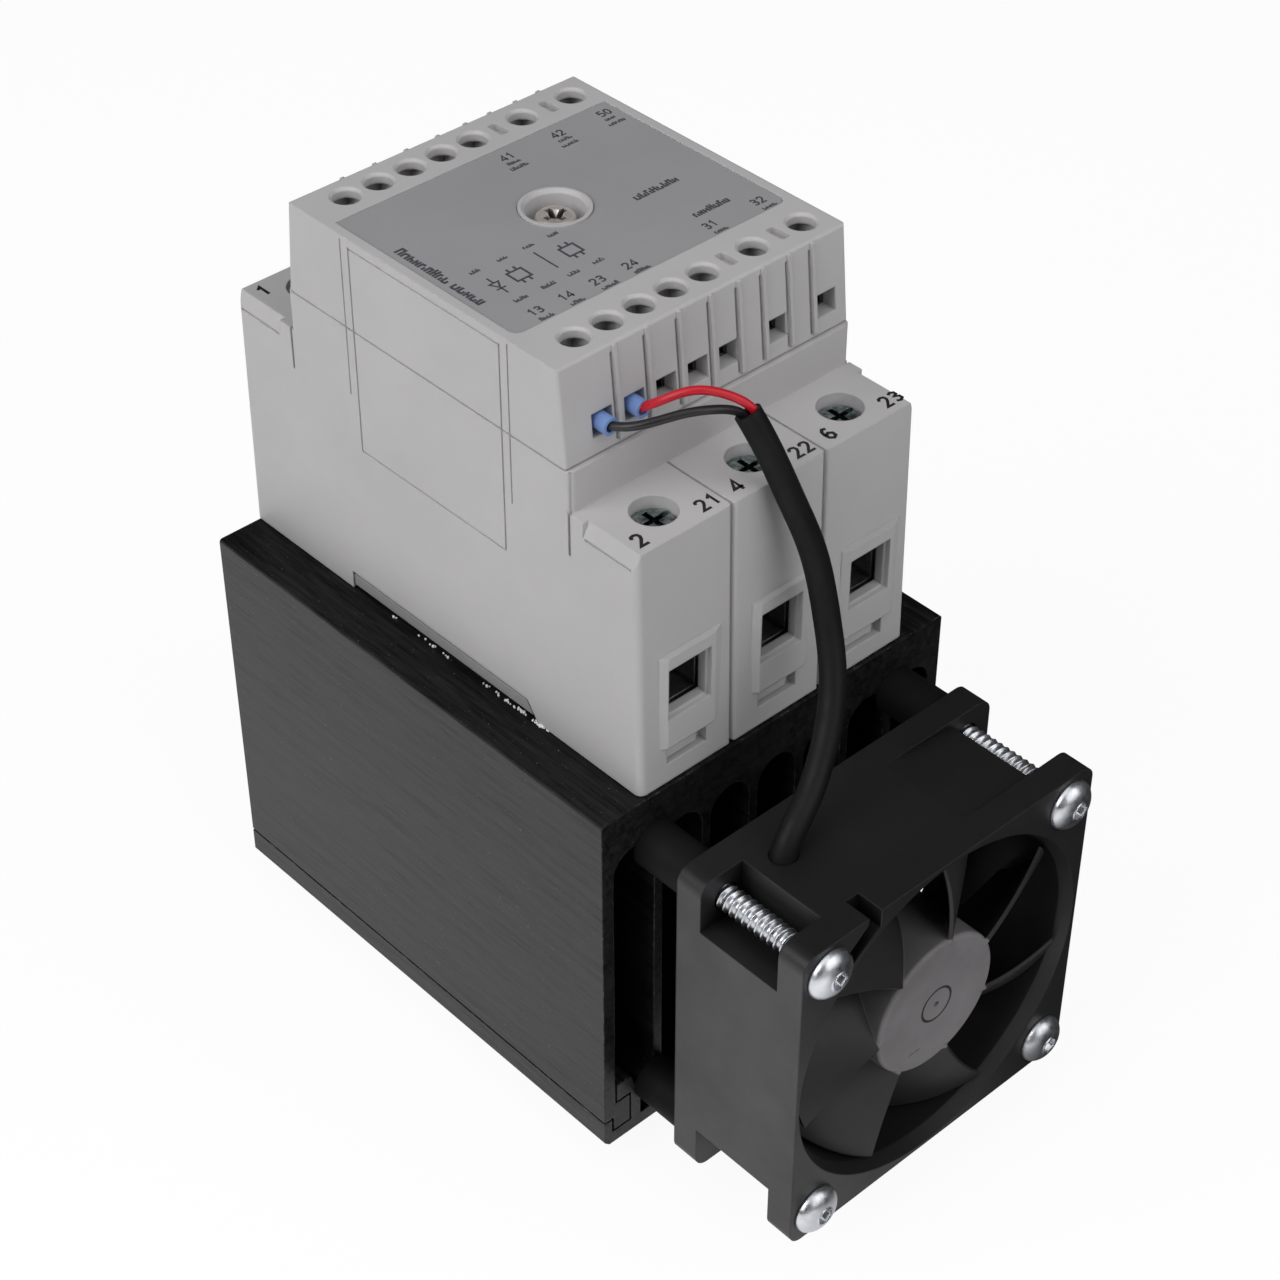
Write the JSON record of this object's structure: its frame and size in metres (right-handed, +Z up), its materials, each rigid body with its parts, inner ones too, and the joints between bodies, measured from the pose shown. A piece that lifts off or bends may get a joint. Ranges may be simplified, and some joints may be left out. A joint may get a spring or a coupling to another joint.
{
  "type": "solid state relay",
  "caption": "Three-phase solid state relay: stepped grey terminal housing on a black finned heat sink with an end-mounted cooling fan wired to its control terminals.",
  "frame": {"origin": "centre of the mounting rail seat under the base plate (x 0 is the middle pole, y 0 the middle of the 90 mm heat sink, z 0 the plane the rail bears on, 3 mm below the base plate)", "axes": "+X across the poles to the right seen from the fan, +Y along the fins away from the fan, +Z up out of the cover"},
  "size_m": [0.07, 0.1288, 0.1393],
  "materials": {
    "heatsink_black": "black anodised, brushed along the fins",
    "plate_black": "black anodised extrusion",
    "housing_grey": "light grey flame-retardant nylon, fine grain",
    "label_grey": "printed grey polyester sheet",
    "fan_black": "black glass-filled plastic",
    "rotor_black": "black satin plastic",
    "sheath_black": "black flexible PVC, satin",
    "lead_red": "red PVC insulation",
    "lead_black": "black PVC insulation",
    "ferrule_blue": "light blue nylon collars on tinned copper tubes",
    "zinc": "bright zinc plated",
    "zinc_dark": "dark blue-green passivated zinc",
    "passivated": "clear passivated steel",
    "clamp_steel": "zinc plated steel",
    "copper_tin": "tinned copper",
    "clip_black": "black coated steel",
    "spring_steel": "spring steel",
    "pad_white": "thermal compound film",
    "ceramic_white": "alumina substrates",
    "silicon_grey": "thyristor chips",
    "module_grey": "grey moulded frame",
    "board_green": "solder-masked glass-epoxy",
    "coupler_black": "black epoxy case",
    "ferrite": "bonded ferrite",
    "copper_wire": "enamelled copper winding"
  },
  "bodies": {
    "relay": {"heatsink": "heatsink_black", "base_plate": "plate_black", "din_clip": "clip_black", "din_clip_screws": "zinc", "din_latch_spring": "spring_steel", "housing_base": "housing_grey", "housing_cover": "housing_grey", "label_plate": "label_grey", "fixing_screw": "passivated", "terminal_bars": "copper_tin", "control_clamps_front": "clamp_steel", "control_clamps_rear": "clamp_steel", "module_frame": "module_grey", "thermal_pad": "pad_white", "substrates": "ceramic_white", "thyristor_chips": "silicon_grey", "gate_pins": "copper_tin", "control_board": "board_green", "trigger_couplers": "coupler_black", "fan_frame": "fan_black", "fan_bearings": "zinc", "fan_stator": "clamp_steel", "fan_coils": "copper_wire", "fan_spacers": "fan_black", "fan_screws": "zinc", "cable_sheath": "sheath_black", "wire_red": "lead_red", "wire_black": "lead_black", "ferrules": "ferrule_blue"},
    "fan_rotor": {"fan_impeller": "rotor_black", "rotor_yoke": "clamp_steel", "rotor_magnet": "ferrite", "fan_shaft": "zinc"},
    "rail_latch": {"din_latch": "clip_black"},
    "power_screw_1": {"clamp_screw_1": "zinc_dark"},
    "power_clamp_1": {"clamp_cage_1": "clamp_steel"},
    "power_screw_3": {"clamp_screw_3": "zinc_dark"},
    "power_clamp_3": {"clamp_cage_3": "clamp_steel"},
    "power_screw_5": {"clamp_screw_5": "zinc_dark"},
    "power_clamp_5": {"clamp_cage_5": "clamp_steel"},
    "power_screw_2": {"clamp_screw_2": "zinc_dark"},
    "power_clamp_2": {"clamp_cage_2": "clamp_steel"},
    "power_screw_4": {"clamp_screw_4": "zinc_dark"},
    "power_clamp_4": {"clamp_cage_4": "clamp_steel"},
    "power_screw_6": {"clamp_screw_6": "zinc_dark"},
    "power_clamp_6": {"clamp_cage_6": "clamp_steel"},
    "control_screw_front_1_body": {"control_screw_front_1": "zinc"},
    "control_screw_front_2_body": {"control_screw_front_2": "zinc"},
    "control_screw_front_3_body": {"control_screw_front_3": "zinc"},
    "control_screw_front_4_body": {"control_screw_front_4": "zinc"},
    "control_screw_front_5_body": {"control_screw_front_5": "zinc"},
    "control_screw_front_6_body": {"control_screw_front_6": "zinc"},
    "control_screw_front_7_body": {"control_screw_front_7": "zinc"},
    "control_screw_rear_1_body": {"control_screw_rear_1": "zinc"},
    "control_screw_rear_2_body": {"control_screw_rear_2": "zinc"},
    "control_screw_rear_3_body": {"control_screw_rear_3": "zinc"},
    "control_screw_rear_4_body": {"control_screw_rear_4": "zinc"},
    "control_screw_rear_5_body": {"control_screw_rear_5": "zinc"},
    "control_screw_rear_6_body": {"control_screw_rear_6": "zinc"},
    "control_screw_rear_7_body": {"control_screw_rear_7": "zinc"}
  },
  "joints": [
    {"name": "fan_spin", "type": "hinge", "parent": "relay", "child": "fan_rotor", "pos_m": [0, -0.0702, 0.037], "axis": [0, 1, 0], "continuous": true},
    {"name": "rail_latch_slide", "type": "slide", "parent": "relay", "child": "rail_latch", "axis": [0, -1, 0], "range_m": [0, 0.004], "stiffness_N_per_m": 800, "springref_m": -0.003, "deforming": ["din_latch_spring"]},
    {"name": "clamp_screw_1_turn", "type": "hinge", "parent": "relay", "child": "power_screw_1", "pos_m": [-0.018, 0.0387, 0.1122], "axis": [0, 0, -1], "range_deg": [0, 2161]},
    {"name": "clamp_1_lift", "type": "slide", "parent": "relay", "child": "power_clamp_1", "axis": [0, 0, 1], "range_m": [0, 0.0048]},
    {"name": "clamp_screw_3_turn", "type": "hinge", "parent": "relay", "child": "power_screw_3", "pos_m": [0, 0.0387, 0.1122], "axis": [0, 0, -1], "range_deg": [0, 2161]},
    {"name": "clamp_3_lift", "type": "slide", "parent": "relay", "child": "power_clamp_3", "axis": [0, 0, 1], "range_m": [0, 0.0048]},
    {"name": "clamp_screw_5_turn", "type": "hinge", "parent": "relay", "child": "power_screw_5", "pos_m": [0.018, 0.0387, 0.1122], "axis": [0, 0, -1], "range_deg": [0, 2161]},
    {"name": "clamp_5_lift", "type": "slide", "parent": "relay", "child": "power_clamp_5", "axis": [0, 0, 1], "range_m": [0, 0.0048]},
    {"name": "clamp_screw_2_turn", "type": "hinge", "parent": "relay", "child": "power_screw_2", "pos_m": [-0.018, -0.0373, 0.1122], "axis": [0, 0, -1], "range_deg": [0, 2161]},
    {"name": "clamp_2_lift", "type": "slide", "parent": "relay", "child": "power_clamp_2", "axis": [0, 0, 1], "range_m": [0, 0.0048]},
    {"name": "clamp_screw_4_turn", "type": "hinge", "parent": "relay", "child": "power_screw_4", "pos_m": [0, -0.0373, 0.1122], "axis": [0, 0, -1], "range_deg": [0, 2161]},
    {"name": "clamp_4_lift", "type": "slide", "parent": "relay", "child": "power_clamp_4", "axis": [0, 0, 1], "range_m": [0, 0.0048]},
    {"name": "clamp_screw_6_turn", "type": "hinge", "parent": "relay", "child": "power_screw_6", "pos_m": [0.018, -0.0373, 0.1122], "axis": [0, 0, -1], "range_deg": [0, 2161]},
    {"name": "clamp_6_lift", "type": "slide", "parent": "relay", "child": "power_clamp_6", "axis": [0, 0, 1], "range_m": [0, 0.0048]},
    {"name": "control_screw_front_1_turn", "type": "hinge", "parent": "relay", "child": "control_screw_front_1_body", "pos_m": [-0.0199, -0.0237, 0.129], "axis": [0, 0, -1], "range_deg": [0, 1440]},
    {"name": "control_screw_front_2_turn", "type": "hinge", "parent": "relay", "child": "control_screw_front_2_body", "pos_m": [-0.014, -0.0237, 0.129], "axis": [0, 0, -1], "range_deg": [0, 1440]},
    {"name": "control_screw_front_3_turn", "type": "hinge", "parent": "relay", "child": "control_screw_front_3_body", "pos_m": [-0.0081, -0.0237, 0.129], "axis": [0, 0, -1], "range_deg": [0, 1440]},
    {"name": "control_screw_front_4_turn", "type": "hinge", "parent": "relay", "child": "control_screw_front_4_body", "pos_m": [-0.0022, -0.0237, 0.129], "axis": [0, 0, -1], "range_deg": [0, 1440]},
    {"name": "control_screw_front_5_turn", "type": "hinge", "parent": "relay", "child": "control_screw_front_5_body", "pos_m": [0.0037, -0.0237, 0.129], "axis": [0, 0, -1], "range_deg": [0, 1440]},
    {"name": "control_screw_front_6_turn", "type": "hinge", "parent": "relay", "child": "control_screw_front_6_body", "pos_m": [0.0132, -0.0237, 0.129], "axis": [0, 0, -1], "range_deg": [0, 1440]},
    {"name": "control_screw_front_7_turn", "type": "hinge", "parent": "relay", "child": "control_screw_front_7_body", "pos_m": [0.0228, -0.0237, 0.129], "axis": [0, 0, -1], "range_deg": [0, 1440]},
    {"name": "control_screw_rear_1_turn", "type": "hinge", "parent": "relay", "child": "control_screw_rear_1_body", "pos_m": [-0.0199, 0.0251, 0.129], "axis": [0, 0, -1], "range_deg": [0, 1440]},
    {"name": "control_screw_rear_2_turn", "type": "hinge", "parent": "relay", "child": "control_screw_rear_2_body", "pos_m": [-0.014, 0.0251, 0.129], "axis": [0, 0, -1], "range_deg": [0, 1440]},
    {"name": "control_screw_rear_3_turn", "type": "hinge", "parent": "relay", "child": "control_screw_rear_3_body", "pos_m": [-0.0081, 0.0251, 0.129], "axis": [0, 0, -1], "range_deg": [0, 1440]},
    {"name": "control_screw_rear_4_turn", "type": "hinge", "parent": "relay", "child": "control_screw_rear_4_body", "pos_m": [-0.0022, 0.0251, 0.129], "axis": [0, 0, -1], "range_deg": [0, 1440]},
    {"name": "control_screw_rear_5_turn", "type": "hinge", "parent": "relay", "child": "control_screw_rear_5_body", "pos_m": [0.0037, 0.0251, 0.129], "axis": [0, 0, -1], "range_deg": [0, 1440]},
    {"name": "control_screw_rear_6_turn", "type": "hinge", "parent": "relay", "child": "control_screw_rear_6_body", "pos_m": [0.0132, 0.0251, 0.129], "axis": [0, 0, -1], "range_deg": [0, 1440]},
    {"name": "control_screw_rear_7_turn", "type": "hinge", "parent": "relay", "child": "control_screw_rear_7_body", "pos_m": [0.0228, 0.0251, 0.129], "axis": [0, 0, -1], "range_deg": [0, 1440]}
  ],
  "couplings": [
    {"joint": "clamp_screw_1_turn", "follows": "clamp_1_lift", "rad_per_m": 7854},
    {"joint": "clamp_screw_3_turn", "follows": "clamp_3_lift", "rad_per_m": 7854},
    {"joint": "clamp_screw_5_turn", "follows": "clamp_5_lift", "rad_per_m": 7854},
    {"joint": "clamp_screw_2_turn", "follows": "clamp_2_lift", "rad_per_m": 7854},
    {"joint": "clamp_screw_4_turn", "follows": "clamp_4_lift", "rad_per_m": 7854},
    {"joint": "clamp_screw_6_turn", "follows": "clamp_6_lift", "rad_per_m": 7854}
  ]
}
